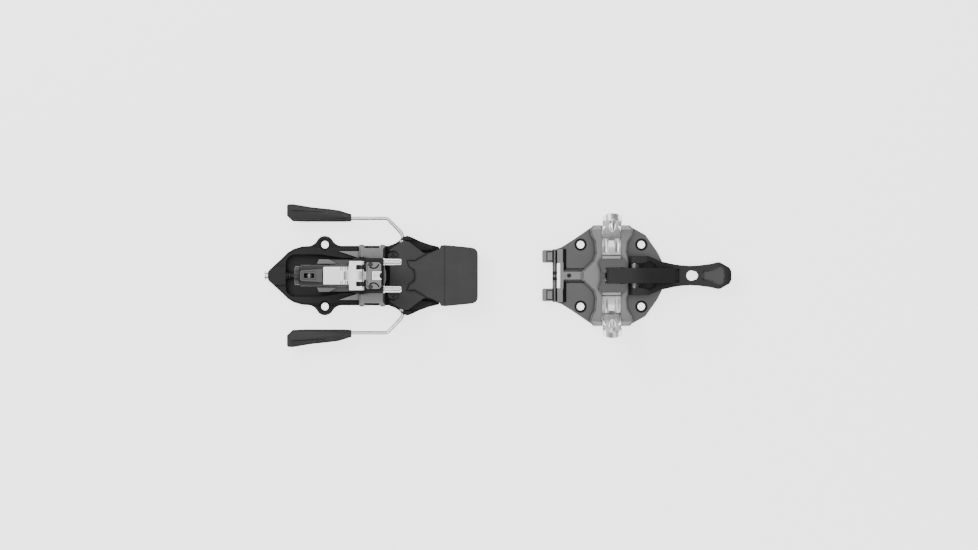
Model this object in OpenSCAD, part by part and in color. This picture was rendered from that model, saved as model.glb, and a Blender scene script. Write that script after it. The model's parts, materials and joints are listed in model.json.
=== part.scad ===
// Ski-touring binding: a toe unit with two pin jaws and a heel unit with a turning turret and a brake.
// +X is forwards, +Z is up, and the origin is the centre of the toe unit's four screws on the ski.

/* [Toe unit] */
// Distance between the toe screws along the ski
toe_screws_x = 51; // [49:0.5:52]
// Distance between the toe screws across the ski
toe_screws_y = 52; // [51:0.5:53]
// Height of the toe wing axles above the ski
wing_axle_z = 14; // [13.5:0.5:14.5]
// Distance of each wing axle from the centre line
wing_axle_y = 35; // [34:0.5:35.5]
// Angle by which the open wings lean outwards
wing_open = 22; // [18:1:22]
// Height of the closed toe pins above the ski
toe_pin_z = 37; // [36:0.5:38]
// Width of each wing
wing_w = 15.3; // [14:0.1:15.4]

/* [Heel unit] */
// Distance between the rear screws across the ski
heel_screws_y = 52; // [51:0.5:53]
// Position of the rear screws along the ski
heel_screws_x = -240; // [-242:1:-238]
// Position of the turret's axis along the ski
turret_x = -208.5; // [-209:0.5:-208]
// Height of the heel pins above the ski
heel_pin_z = 46; // [45:0.5:46]
// Distance between the heel pins
heel_pin_gap = 22.5; // [22:0.1:22.8]
// Diameter of the heel pins
heel_pin_d = 5; // [4.6:0.1:5.2]

/* [Brake] */
// Diameter of the brake wire
wire_d = 3.4; // [3:0.1:3.4]
// Distance from the centre line to each stowed brake arm
brake_arm_y = 48; // [47.5:0.5:48.5]

/* [Mounting] */
// Radius of every mounting hole
screw_hole_r = 3.15; // [3:0.05:3.3]
// Thickness of the flanges that lie on the ski
flange_t = 4.2; // [4:0.1:4.4]

/* [Hidden] */
$fn = 48;
run = 0.05;      // running clearance on a radius
hold = 0.02;     // clearance of a fixed shaft on a radius
axle_r = 2;

// ---------------------------------------------------------------- helpers
function both(half) = concat(half, [for (i = [len(half) - 1 : -1 : 0]) [half[i][0], -half[i][1]]]);

module pair() {
    children();
    mirror([0, 1, 0]) children();
}

module rod_x(r, x0, x1) translate([x0, 0, 0]) rotate([0, 90, 0]) cylinder(r = r, h = x1 - x0);

module rod_y(r, y0, y1) translate([0, y0, 0]) rotate([-90, 0, 0]) cylinder(r = r, h = y1 - y0);

module block(x0, x1, y0, y1, z0, z1) translate([x0, y0, z0]) cube([x1 - x0, y1 - y0, z1 - z0]);

// A profile in X and Z, given a width from y0 to y1
module side_plate(y0, y1) translate([0, y1, 0]) rotate([90, 0, 0]) linear_extrude(y1 - y0) children();

// A profile in Y and Z, given a length from x0 to x1
module cross_plate(x0, x1) translate([x0, 0, 0]) rotate([90, 0, 90]) linear_extrude(x1 - x0) children();

module soften(r) offset(r) offset(delta = -2 * r) offset(r) children();

// A coil spring that stands on z = 0, with closed ends, as one swept tube
module coil(coil_r, tube_r, height, turns) {
    sides = 6;
    per_turn = 10;
    rings = turns * per_turn;
    rise = height - 2 * tube_r;
    function centre(i) = [
        coil_r * cos(360 * i / per_turn),
        coil_r * sin(360 * i / per_turn),
        tube_r + rise * i / rings
    ];
    function ring(i) = [
        for (k = [0 : sides - 1]) centre(i)
            + tube_r * cos(360 * k / sides) * [cos(360 * i / per_turn), sin(360 * i / per_turn), 0]
            + tube_r * sin(360 * k / sides) * [0, 0, 1]
    ];
    points = [for (i = [0 : rings]) each ring(i)];
    walls = [
        for (i = [0 : rings - 1]) for (k = [0 : sides - 1])
            let (a = i * sides + k, b = i * sides + (k + 1) % sides)
            each [[a, a + sides, b], [b, a + sides, b + sides]]
    ];
    first = [for (k = [0 : sides - 1]) k];
    last = [for (k = [sides - 1 : -1 : 0]) rings * sides + k];
    polyhedron(points, concat(walls, [first], [last]));
}

// ---------------------------------------------------------------- toe unit
channel_x = 8;           // half the width of the channel that the wings swing in
housing_z = 17.5;
ledge_z = 11.6;          // top of the ledge round the foot of the housing
rib_z = 8.5;
cover_z = 28;
lever_x = 19;
lever_z = 18;
bar_x = -47.2;
bar_z = 5;
bar_r = 1.95;
slot_x = -42.7;

module toe_outline() soften(1.2) polygon(both([
    [-46, 22.4], [-41.5, 23.9], [-31.7, 30.1], [-14.1, 42.2], [14.2, 42.2], [28.8, 34.2],
    [38.9, 20], [42.8, 12.3]
]));

module wall_height() polygon([
    [-42.2, 0], [-42.2, 10], [-38.5, 16.5], [-33, housing_z], [33, housing_z], [38.5, 16.5],
    [42.2, 10], [42.2, 0]
]);

module rear_wall() polygon(both([
    [-channel_x, 42.2], [-11.2, 42.2], [-14.6, 41], [-16.4, 38.4], [-15.8, 34.5], [-12.9, 29], [-12, 18.7],
    [-13.9, 12.1], [-18.8, 7.1], [-23.2, 3.1]
]));

module front_wall() polygon(both([
    [channel_x, 42.2], [11.4, 42.2], [15, 41], [17, 38.4], [16.2, 34.5], [12.5, 28], [11.6, 19.8],
    [13.4, 12.6]
]));

module housing_plan() {
    rear_wall();
    front_wall();
}

module crampon_ear() {
    difference() {
        union() {
            linear_extrude(rib_z) soften(1.4) translate([-57.7, 10.8]) square([11.7, 10.7]);
            block(-49, -40.6, 10.8, 22.2, 0, rib_z);
            side_plate(10.8, 22.2) polygon([[-40.7, 0], [-40.7, rib_z], [-37.4, flange_t], [-37.4, 0]]);
        }
        block(-49.3, -45.1, 10, 23, bar_z, 20);
        translate([0, 0, rib_z - 2]) linear_extrude(5) difference() {
            translate([-54.4, 11.7]) square([5, 8.9]);
            translate([-53.3, 12.8]) square([4, 6.7]);
        }
    }
}

module toe_plate() color([0.42, 0.42, 0.43]) difference() {
    union() {
        linear_extrude(flange_t) toe_outline();
        pair() crampon_ear();
        block(slot_x, -40, -11, 11, 0, rib_z);
        cross_plate(-40.6, -14) polygon([[-6.4, 0], [-6.4, 4], [-3.1, rib_z], [3.1, rib_z],
            [6.4, 4], [6.4, 0]]);
        side_plate(-10.9, 10.9) polygon([[-40.7, 0], [-40.7, rib_z], [-37.4, flange_t], [-37.4, 0]]);
        intersection() {
            union() {
                linear_extrude(30) housing_plan();
                linear_extrude(ledge_z) offset(delta = 1.2) housing_plan();
            }
            cross_plate(-30, 20) wall_height();
        }
        pair() translate([lever_x, 0, 0]) {
            translate([0, 0, lever_z]) rod_y(4.3, 5.2, 9.9);
            block(-4.3, 4.3, 5.2, 9.9, 0, lever_z);
        }
    }
    block(-channel_x, channel_x, -50, 50, 2, 60);
    block(-60, slot_x, -10.5, 10.5, -1, 20);
    for (x = [-1, 1], y = [-1, 1]) translate([x * toe_screws_x / 2, y * toe_screws_y / 2, 0]) {
        translate([0, 0, -1]) cylinder(r = screw_hole_r, h = 20);
        translate([0, 0, flange_t - 1]) cylinder(r = 5.1, h = 20);
    }
    pair() translate([0, wing_axle_y, wing_axle_z]) rod_x(axle_r + hold, -30, 30);
    translate([lever_x, 0, lever_z]) rod_y(axle_r + hold, -20, 20);
    translate([bar_x, 0, bar_z]) rod_y(bar_r + hold, -21.2, 21.2);
    translate([-35.2, 0, rib_z - 4]) cylinder(r = 1.9 + hold, h = 10);
    cover_screw_places() {
        translate([0, 0, -1]) cylinder(r = 1.25 + hold, h = 30);
        translate([0, 0, -1]) cylinder(r = 2.3 + hold, h = 3);
    }
}

module cover_screw_places() for (x = [-10.2, 10.2], y = [-10.5, 10.5]) translate([x, y, 0]) children();

module toe_cover_screws() color([0.2, 0.2, 0.2]) cover_screw_places() {
    translate([0, 0, 0.4]) cylinder(r = 2.3, h = 1.6);
    translate([0, 0, 0.4]) cylinder(r = 1.25, h = 23);
}

module cover_outline() soften(0.8) polygon(both([
    [-9.2, 0.01], [-9.2, 5.4], [-11.4, 10.2], [-8.6, 14.2], [10.2, 14.2], [12, 12.2]
]));

module toe_cover() color([0.3, 0.3, 0.31]) difference() {
    translate([0, 0, housing_z + hold]) linear_extrude(cover_z - housing_z) cover_outline();
    block(-channel_x, channel_x, -20, 20, 0, 25.6);
    block(-5.6, 20, -6.9, 6.9, 0, 60);
    translate([-7.6, 0, cover_z - 1.2]) linear_extrude(5) soften(1) square([3.2, 5], center = true);
    cover_screw_places() cylinder(r = 1.25 + hold, h = 24);
    difference() {
        translate([0, 0, cover_z - 0.9]) linear_extrude(5) offset(delta = 3) cover_outline();
        translate([0, 0, cover_z - 1]) linear_extrude(6) offset(delta = -0.7) cover_outline();
    }
}

module wing_axle(side) translate([0, side * wing_axle_y, wing_axle_z]) rod_x(axle_r, -14.5, 14.5);
module wing_axle_left() color([0.7, 0.7, 0.72]) wing_axle(1);
module wing_axle_right() color([0.7, 0.7, 0.72]) wing_axle(-1);

// Places a left wing, drawn closed, at its open resting angle
module open_wing() translate([0, wing_axle_y, wing_axle_z]) rotate([-wing_open, 0, 0])
    translate([0, -wing_axle_y, -wing_axle_z]) children();

boss_y = 35.6;
boss_t = 4.5;
boss_r = 8;
tail_r = 2.1;

module wing_profile() polygon([
    [1.2, 8.5], [1.2, 11], [2.2, 12], [15.6, 12], [16.2, 13.1], [17.4, 13.1], [18.2, 12.1],
    [24, 12.3], [28.8, 14], [31.4, 17.5], [33.6, 24], [35, 29.2], [35, 40], [40.4, 40],
    [41.4, 30], [41.6, 22], [40.6, 13.6], [38.2, 9.8], [33, 8.6], [28.5, 8.4],
    [27.7, 3.3], [25.8, 3.3], [25.1, 8.3]
]);

module wing() open_wing() difference() {
    union() {
        cross_plate(-wing_w / 2, wing_w / 2) wing_profile();
        translate([0, 0, toe_pin_z]) rod_y(boss_r, boss_y, boss_y + boss_t);
        translate([0, 0, toe_pin_z]) rod_y(boss_r - 0.8, boss_y - 0.8, boss_y + boss_t + 0.8);
    }
    translate([0, wing_axle_y, wing_axle_z]) rod_x(axle_r + run, -20, 20);
    translate([0, 0, toe_pin_z]) rod_y(tail_r + hold, 0, 60);
    // Flutes along the foot's top face, and one up the back
    for (x = [-4.9, 4.9]) translate([x, 0, 14.1]) rod_y(2.6, 19, 30);
    translate([0, 45.6, 12]) cylinder(r = 5.2, h = 17);
    translate([0, 0, toe_pin_z]) for (x = [-1, 1]) translate([x * (boss_r + 4), 41, -13])
        rotate([0, -x * 24, 0])
        block(-4, 4, -12, 5, -6, 8);
    block(-3, 3, 6, 14, 5, 9.6);
}

module toe_wing_left() color([0.78, 0.78, 0.79]) wing();
module toe_wing_right() color([0.78, 0.78, 0.79]) mirror([0, 1, 0]) wing();

module toe_pin() open_wing() translate([0, boss_y, toe_pin_z]) rotate([90, 0, 0]) rotate_extrude() polygon([
    [0, -4.4], [tail_r, -4.4], [tail_r, 0.85], [3, 0.85], [3, 3.2], [2.4, 5.8], [1.2, 8.2],
    [0.7, 8.6], [0, 8.6]
]);
module toe_pin_left() color([0.6, 0.6, 0.62]) toe_pin();
module toe_pin_right() color([0.6, 0.6, 0.62]) mirror([0, 1, 0]) toe_pin();

module toe_springs() color([0.7, 0.7, 0.7]) pair() for (x = [-3.6, 3.6])
    translate([x, 2.3, 5.3]) rotate([-80, 0, 0]) coil(2.1, 0.5, 19.6, 7);

module spring_block() color([0.25, 0.25, 0.25]) translate([0, 0, 2.02]) linear_extrude(6) soften(0.6)
    square([14.6, 4], center = true);

module lever_plan() soften(0.8) polygon(both([
    [13.9, 16.4], [30.4, 16.4], [41.5, 11.8], [46, 11], [51, 9.8], [58.4, 8.7], [66, 8.2], [73.4, 8.6],
    [83.4, 9.9], [89, 11.3], [91, 11.2], [96, 8.3], [98.8, 6.8], [100.6, 3.6]
]));

module lever_body_side() union() {
    polygon([
        [19, 13.5], [28, 9.6], [40, 6.9], [60, 6.6], [84, 7.2], [95, 8.6], [100.7, 10.4], [100.7, 12.2],
        [97, 13.6], [90.5, 14.4], [80, 12.8], [70, 12.2], [58, 12.5], [46, 15.2], [37, 19.2],
        [29, 22.2], [19, 22.5]
    ]);
    translate([lever_x, lever_z]) circle(r = 4.5);
}

module tongue_side() polygon([
    [-4.6, 26.2], [-3.6, 25.3], [16, 25.3], [24, 24.2], [28, 19.8], [30, 14], [50, 9], [53.4, 9],
    [53.4, 13.4],
    [46, 17.6], [36, 23.6], [27, 28], [14, 29.6], [-2.4, 29], [-4.2, 28.2]
]);

// A hole in the handle, round towards the axle and blunt-pointed towards the thumb end
module thumb_hole() {
    circle(r = 4.2);
    polygon([[0, 4.2], [4.1, 3.1], [5.5, 1.1], [5.5, -1.1], [4.1, -3.1], [0, -4.2]]);
}

module toe_lever() color([0.13, 0.13, 0.135]) difference() {
    union() {
        intersection() {
            linear_extrude(40) lever_plan();
            side_plate(-20, 20) lever_body_side();
        }
        intersection() {
            side_plate(-6.3, 6.3) tongue_side();
            linear_extrude(60) translate([-4.6, 0]) soften(2.4) translate([0, -6.3]) square([70, 12.6]);
        }
    }
    // Gap of the yoke, under the tongue
    difference() {
        block(0, 25, -10.3, 10.3, 0, 40);
        side_plate(-6.3, 6.3) tongue_side();
    }
    // Hollow between the tongue and each arm
    pair() translate([0, 0, 12]) linear_extrude(20) soften(0.7)
        polygon([[24.4, 6.5], [37.5, 6.5], [37.5, 9], [32, 12.4], [24.4, 10.2]]);
    translate([lever_x, 0, lever_z]) rod_y(axle_r + run, -20, 20);
    translate([67.1, 0, 0]) linear_extrude(30) thumb_hole();
    translate([53.2, -5.8, 7.8]) linear_extrude(20) soften(0.5) square([3.6, 11.6]);
    // Thumb recess
    intersection() {
        side_plate(-11, 11) polygon([[76, 30], [76, 12.6], [79, 11.4], [91, 12.6], [95.6, 13], [95.6, 30]]);
        linear_extrude(60) soften(0.8) polygon(both([[76.6, 3.9], [84, 4.6], [90.4, 8.7],
            [94.6, 5.6], [95.8, 3]]));
    }
}

module lever_axle() color([0.62, 0.62, 0.64]) translate([lever_x, 0, lever_z]) rod_y(axle_r, -16.2, 16.2);

module crampon_bar() color([0.42, 0.42, 0.43]) translate([bar_x, 0, bar_z]) difference() {
    rod_y(bar_r, -21, 21);
    for (y = [-2.6, 2.2]) translate([0, y, 0]) difference() {
        rod_y(bar_r + 1, -1.2, 1.2);
        rod_y(bar_r - 0.5, -1.3, 1.3);
    }
}

module crampon_bar_rings() color([0.03, 0.03, 0.03]) translate([bar_x, 0, bar_z]) for (y = [-2.6, 2.2])
    translate([0, y, 0]) difference() {
        rod_y(bar_r + 0.12, -1.18, 1.18);
        rod_y(bar_r - 0.5 + hold, -1.3, 1.3);
    }

module rib_set_screw() color([0.3, 0.3, 0.3]) translate([-35.2, 0, rib_z - 3.9]) difference() {
    cylinder(r = 1.9, h = 3.6);
    translate([0, 0, 1.8]) cylinder(r = 1.05, h = 5, $fn = 6);
}

// ---------------------------------------------------------------- heel unit: base and carriage
rail_z = 9.5;
recess_y = 17.8;
rail_y = 14.8;          // inner face of each rail beside the saddle
base_front = -186;
straight_y = 25;
screw_z = 7;
length_r = 2.5;
saddle_z = 19.5;
saddle_x1 = -189.4;
tunnel_y = 4.9;
post_r = 8;
cam_r = 15.6;
cam_z = 22;

module base_body() polygon(both([
    [-286.4, 5], [-276.2, 14.3], [-271.1, 19.4], [-266.1, 22.4], [-259, 24.5], [-250, straight_y],
    [base_front, straight_y]
]));

module base_outline() offset(r = -9) offset(delta = 9) union() {
    base_body();
    translate([heel_screws_x, heel_screws_y / 2]) circle(r = 7.3);
    translate([heel_screws_x, -heel_screws_y / 2]) circle(r = 7.3);
}

module heel_base() color([0.13, 0.13, 0.135]) difference() {
    union() {
        linear_extrude(flange_t) base_outline();
        linear_extrude(rail_z - 1.4) offset(r = -0.6) base_body();
        linear_extrude(rail_z) offset(r = -2) base_body();
        linear_extrude(11.4) soften(1.5) polygon(both([[-286.2, 4.9], [-281, 7.6], [-270.5, 7.6]]));
    }
    translate([0, 0, 3]) linear_extrude(20) difference() {
        soften(8) translate([-272.5, -recess_y]) square([120, 2 * recess_y]);
        pair() polygon([[-243, 20], [-243, recess_y], [-225, rail_y], [-150, rail_y], [-150, 20]]);
    }
    // Sloped facet on the inside of each rail
    pair() hull() {
        translate([0, 0, rail_z]) linear_extrude(1) polygon([[-228, 20.6], [-190, 20.6],
            [-190, rail_y], [-214, rail_y]]);
        translate([0, 0, rail_z - 2]) linear_extrude(1) polygon([[-212, rail_y + 0.5],
            [-190, rail_y + 0.5], [-190, rail_y]]);
    }
    for (y = [-1, 1]) translate([heel_screws_x, y * heel_screws_y / 2, -1]) {
        cylinder(r = screw_hole_r, h = 20);
        translate([0, 0, flange_t]) cylinder(r = 5.1, h = 20);
    }
    translate([0, 0, screw_z]) rod_x(3.6 + hold, -290, -270);
    // Step for the brake frame to sit in
    block(base_front - 4, base_front + 5, -40, 40, flange_t, 30);
}

module length_screw() color([0.12, 0.12, 0.12]) translate([0, 0, screw_z]) union() {
    rod_x(length_r, -288, -191.5);
    rod_x(3.1, -269.9, -268.6);
}

module length_screw_head() color([0.8, 0.8, 0.81]) translate([0, 0, screw_z]) difference() {
    rod_x(4, -290.4, -287.2);
    rod_x(length_r + hold, -288.02, -287);
    rod_x(1.7, -291, -288.6, $fn = 6);
}

module length_screw_bush() color([0.05, 0.05, 0.05]) translate([0, 0, screw_z]) difference() {
    union() {
        rod_x(3.6, -286.6, -270.3);
        rod_x(4.6, -286.9, -286.42);
    }
    rod_x(length_r + run, -288, -269);
}

module carriage_fin() {
    linear_extrude(8.4) polygon([[-246.5, 10], [-244.8, 13.6], [-236.5, 13.6], [-231, 11], [-231, 10]]);
    linear_extrude(4.6) polygon([[-238, 10], [-238, 13.4], [-210, 13.4], [-210, 10]]);
}

module carriage() color([0.42, 0.42, 0.43]) difference() {
    union() {
        pair() {
            difference() {
                carriage_fin();
                block(-260, -200, 0, 20, -1, 3.4);
            }
            // Gusset that slides over the rail
            translate([0, 0, rail_z + 0.3]) linear_extrude(1.6) polygon([[-228, 20.4],
                [-210.7, 20.4], [-210.7, 14.6]]);
            side_plate(14, straight_y) polygon([
                [-210.9, rail_z + 0.3], [-210.9, 17.8], [-209.4, saddle_z], [-190.9, saddle_z],
                [saddle_x1, 18],
                [saddle_x1, rail_z + 0.3]
            ]);
            for (x = [-210.9, -193.4]) side_plate(straight_y - 0.1, 25.9)
                translate([x, 0]) polygon([[0.3, 5.4], [0.3, 16], [1.4, 17.6], [3, 17.6], [4, 16],
                    [4, 5.4]]);
        }
        block(-236, -210, -tunnel_y, tunnel_y, 3.4, 12);
        block(-236, -210, -13.3, 13.3, 3.4, 4.6);
        block(-211, saddle_x1, -14.4, 14.4, 3.4, saddle_z);
        // Round tower that holds the turret's post
        translate([turret_x, 0, 3.4]) cylinder(r = 11.5, h = saddle_z - 3.4);
        // Round lip in front, above the brake plate's edge
        intersection() {
            translate([turret_x, 0, 16.2]) cylinder(r = 20.4, h = saddle_z - 16.2);
            block(-200, -180, -11, 11, 0, 40);
        }
    }
    // Rounded outer edges of the saddle
    pair() cross_plate(-212, -188) polygon([[22.6, saddle_z + 0.1], [25.02, 16.6], [27, 16.6],
        [27, 21], [22.6, 21]]);
    pair() block(-206.4, -194, 23, 30, 15.2, 30);
    // Clear of the rails
    pair() block(-212, -188, 14.4, straight_y + 0.3, 0, rail_z + 0.3);
    translate([0, 0, screw_z]) rod_x(3.2, -240, -180);
    block(-226.02, -211.98, -4.02, 4.02, 3, 12.7);
    translate([turret_x, 0, 11]) cylinder(r = post_r + hold, h = 20);
}

module carriage_nut() color([0.75, 0.6, 0.3]) difference() {
    block(-226, -212, -4, 4, 3.4, 11);
    translate([0, 0, screw_z]) rod_x(length_r + run, -230, -205);
}

module carriage_inserts() color([0.04, 0.04, 0.04]) pair() block(-206.3, -194.1, 23.05, 24.7, 15.25, 17.6);

module turret_post() color([0.65, 0.65, 0.67]) translate([turret_x, 0, 11.05]) difference() {
    cylinder(r = post_r, h = 25.2);
    translate([0, 0, 23]) difference() {
        cylinder(r = 12, h = 1.2);
        translate([0, 0, -1]) cylinder(r = 7.2, h = 4);
    }
    translate([0, 0, -1]) cylinder(r = 3, h = 40);
}

module turret_circlip() color([0.3, 0.3, 0.3]) translate([turret_x, 0, 34.1]) difference() {
    cylinder(r = 9.2, h = 1);
    translate([0, 0, -1]) cylinder(r = 7.25, h = 3);
    translate([0, 0, -1]) linear_extrude(3) translate([4, -2.5]) square([10, 5]);
}

module release_cam() color([0.55, 0.55, 0.57]) translate([turret_x, 0, 0]) difference() {
    translate([0, 0, saddle_z + hold]) cylinder(r = cam_r, h = cam_z - saddle_z);
    cylinder(r = post_r + hold, h = 40);
    // Notches that the release plunger rests in
    for (a = [0, 90, 270]) rotate([0, 0, a]) translate([0, 0, cam_z + 0.9]) rod_x(1.9, 10.6, 20);
}

// ---------------------------------------------------------------- heel unit: turret
barrel_r = 8.9;
bore_r = 6.6;
barrel_x0 = -258;
barrel_x1 = -207;
arm_z0 = 40.6;
arm_z1 = 51.6;
front_x = -189.7;
arm_pivot = [-200, 9.2];
flap_x = -207.4;
flap_z = 58;
lug_r = 2.8;
lateral_x = -194.8;
pin_y = heel_pin_gap / 2;
plate_z0 = 52;
plate_z1 = 54.6;

module turret_body() color([0.11, 0.11, 0.115]) difference() {
    union() {
        translate([turret_x, 0, 22.3]) cylinder(r = 14, h = 17.9);
        translate([0, 0, heel_pin_z]) rod_x(barrel_r, barrel_x0, barrel_x1);
        translate([0, 0, heel_pin_z]) rod_x(barrel_r - 1, barrel_x0 - 0.8, barrel_x0 + 1);
        block(-222, -206, -9.2, 9.2, 36, 46);
        block(-246, -220, -3, 3, 34.5, 40);
        side_plate(-4.6, 4.6) polygon([[-206, 22.4], [-190.6, 22.4], [-190.6, 51.95],
            [-201, 51.95], [-201, 40]]);
        linear_extrude(40.2) intersection() {
            soften(2) polygon(both([[-216, 13.8], [-196, 13.8], [-190, 12]]));
            polygon(both([[-216, 13.8], [-190, 13.8]]));
        }
        pair() side_plate(5.2, 8.6) polygon([
            [flap_x - 5, 46], [flap_x - 5, 50], [flap_x - lug_r, 55], [flap_x - lug_r, flap_z],
            [flap_x, flap_z + lug_r - 0.4], [flap_x + 1, flap_z], [flap_x + 1, 46]
        ]);
        pair() translate([flap_x, 0, flap_z]) rod_y(lug_r, 5.2, 8.6);
        block(-257, -240.4, -4.6, 4.6, 50, 55.38);
    }
    block(-260, -180, -30, 30, -1, 22.3);
    // Space above the floor for the pin arms
    pair() block(-206.9, -180, 4.62, 20, 40.2, 51.98);
    // Flat seats for the cover and the flap
    block(-259, -239.6, -6, 6, 55.38, 60);
    block(-239.6, -206, -5.2, 5.2, 54.9, 60);
    block(-214, -206, -4.8, 4.8, 53.8, 60);
    translate([0, 0, heel_pin_z]) rod_x(bore_r, -255.5, -205.5);
    translate([0, 0, heel_pin_z]) rod_x(3 + run, -262, -250);
    block(-254.6, -246.6, -1.9, 1.9, 46, 60);
    translate([turret_x, 0, 20]) cylinder(r = post_r + run, h = 16.6);
    translate([turret_x, 0, 33.7]) cylinder(r = 9.6, h = 2.9);
    translate([lateral_x, 0, 20]) cylinder(r = 3.1, h = 30);
    translate([lateral_x, 0, 20]) cylinder(r = 2 + run, h = 40);
    pair() translate([arm_pivot[0], arm_pivot[1], 37]) cylinder(r = axle_r + hold, h = 20);
    translate([flap_x, 0, flap_z]) rod_y(1.5 + hold, -20, 20);
}

module turret_front_plate() color([0.42, 0.42, 0.43]) difference() {
    translate([0, 0, plate_z0]) linear_extrude(plate_z1 - plate_z0) soften(0.8)
        polygon(both([[-203.9, 9.6], [-202.6, 11], [-193, 11], [-191.2, 9.2]]));
    translate([0, 0, plate_z0 - 1]) linear_extrude(6) {
        soften(0.6) polygon(both([[-199.2, 4], [-186, 4]]));
        pair() translate([-197.6, 10.6]) difference() {
            circle(r = 5.1);
            circle(r = 4);
            translate([-6, -3.4]) square([3.4, 12]);
            translate([-6, -1]) square([12, 8]);
        }
    }
    pair() translate([arm_pivot[0], arm_pivot[1], 30]) cylinder(r = axle_r + hold, h = 40);
    pair() block(-206, -202.2, 4, 9.4, 53.2, 60);
}

module turret_cover() color([0.42, 0.42, 0.43]) difference() {
    translate([0, 0, 55.4]) linear_extrude(1.9) polygon(both([[-258, 3.4], [-256.6, 4.4], [-239.8, 5.4]]));
    translate([0, 0, 50]) linear_extrude(10) soften(0.6) polygon(both([[-254.9, 1.95], [-246.3, 1.95]]));
    translate([0, 0, 56.8]) linear_extrude(10) difference() {
        soften(0.6) polygon(both([[-256.6, 3.1], [-244.8, 3.7]]));
        soften(0.6) polygon(both([[-256, 2.6], [-245.4, 3.1]]));
    }
}

module lateral_cradle() color([0.8, 0.8, 0.81]) difference() {
    translate([0, 0, plate_z0]) linear_extrude(3.2) soften(0.5)
        polygon([[-198.8, -3.7], [-198.8, 3.7], [-192.6, 3.7], [-190.2, 3.3], [-192.2, 1.8], [-192.6, 0],
            [-192.2, -1.8], [-190.2, -3.3], [-192.6, -3.7]]);
    translate([lateral_x, 0, 50]) cylinder(r = 2.4 + run, h = 10);
}

module lateral_adjuster() color([0.6, 0.6, 0.62]) translate([lateral_x, 0, 0]) difference() {
    union() {
        translate([0, 0, 52.05]) cylinder(r = 2.4, h = 2.6);
        translate([0, 0, 46.5]) cylinder(r = 2, h = 7);
    }
    block(-3, 3, -0.4, 0.4, 53.6, 60);
}

module lateral_release_spring() color([0.7, 0.7, 0.7]) translate([lateral_x, 0, 30.5])
    coil(2.2, 0.45, 15.8, 7);

module lateral_release_plunger() color([0.6, 0.6, 0.62]) translate([lateral_x, 0, 0]) {
    translate([0, 0, 24]) cylinder(r = 3.04, h = 6.2);
    translate([0, 0, 22.4]) cylinder(r1 = 1.4, r2 = 3.04, h = 1.6);
}

module pin_arm() difference() {
    translate([0, 0, arm_z0]) linear_extrude(arm_z1 - arm_z0) soften(0.5) polygon([
        [-205.4, 5.3], [-205.4, 11], [-203.4, 14.5], [-191, 14.5], [front_x, 14.2], [front_x, 9.2],
        [-194, 5.3]
    ]);
    translate([arm_pivot[0], arm_pivot[1], 30]) cylinder(r = axle_r + run, h = 40);
    translate([0, pin_y, heel_pin_z]) rod_x(heel_pin_d / 2 + hold, -196.8, -180);
}
module pin_arm_left() color([0.12, 0.12, 0.125]) pin_arm();
module pin_arm_right() color([0.12, 0.12, 0.125]) mirror([0, 1, 0]) pin_arm();

module heel_pin() translate([0, pin_y, heel_pin_z]) {
    rod_x(heel_pin_d / 2, -196.7, -175.4);
    translate([-175.4, 0, 0]) rotate([0, 90, 0])
        cylinder(r1 = heel_pin_d / 2, r2 = heel_pin_d / 2 - 0.7, h = 0.7);
    rod_x(heel_pin_d / 2 + 0.7, front_x + 0.05, front_x + 1);
}
module heel_pin_left() color([0.85, 0.85, 0.86]) heel_pin();
module heel_pin_right() color([0.85, 0.85, 0.86]) mirror([0, 1, 0]) heel_pin();

module pin_arm_pivots() color([0.5, 0.5, 0.52]) pair() translate([arm_pivot[0], arm_pivot[1], 37.05])
    cylinder(r = axle_r, h = 17.3);

module vertical_adjuster() color([0.2, 0.2, 0.205]) translate([0, 0, heel_pin_z]) difference() {
    union() {
        rod_x(7.7, -262.6, -259);
        rod_x(6.6, -263, -262);
        rod_x(3, -260, -255.5);
        rod_x(2.5, -256, -246);
    }
    rod_x(2.9, -264, -260.6, $fn = 6);
    for (a = [0 : 30 : 330]) rotate([a, 0, 0]) translate([0, 0, 8.3]) rod_x(1.1, -263, -258);
}

module release_indicator() color([0.85, 0.85, 0.86]) difference() {
    union() {
        translate([0, 0, heel_pin_z]) rod_x(bore_r - 0.07, -252.6, -248.4);
        block(-251.4, -249.6, -1.7, 1.7, 50, 56.6);
    }
    translate([0, 0, heel_pin_z]) rod_x(2.5 + run, -260, -240);
}

module vertical_release_spring() color([0.7, 0.7, 0.7]) translate([-248, 0, heel_pin_z]) rotate([0, 90, 0])
    coil(5, 0.9, 33.8, 10);

module vertical_release_plunger() color([0.6, 0.6, 0.62]) union() {
    translate([0, 0, heel_pin_z]) rod_x(bore_r - 0.07, -214, -209);
    intersection() {
        translate([0, 0, 41.4]) linear_extrude(9.2) polygon(both([[-210, 4.7], [-207.6, 4.4],
            [-203.4, 2.6]]));
        translate([0, 0, heel_pin_z]) rod_x(bore_r - 0.07, -214, -200);
    }
}

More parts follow.
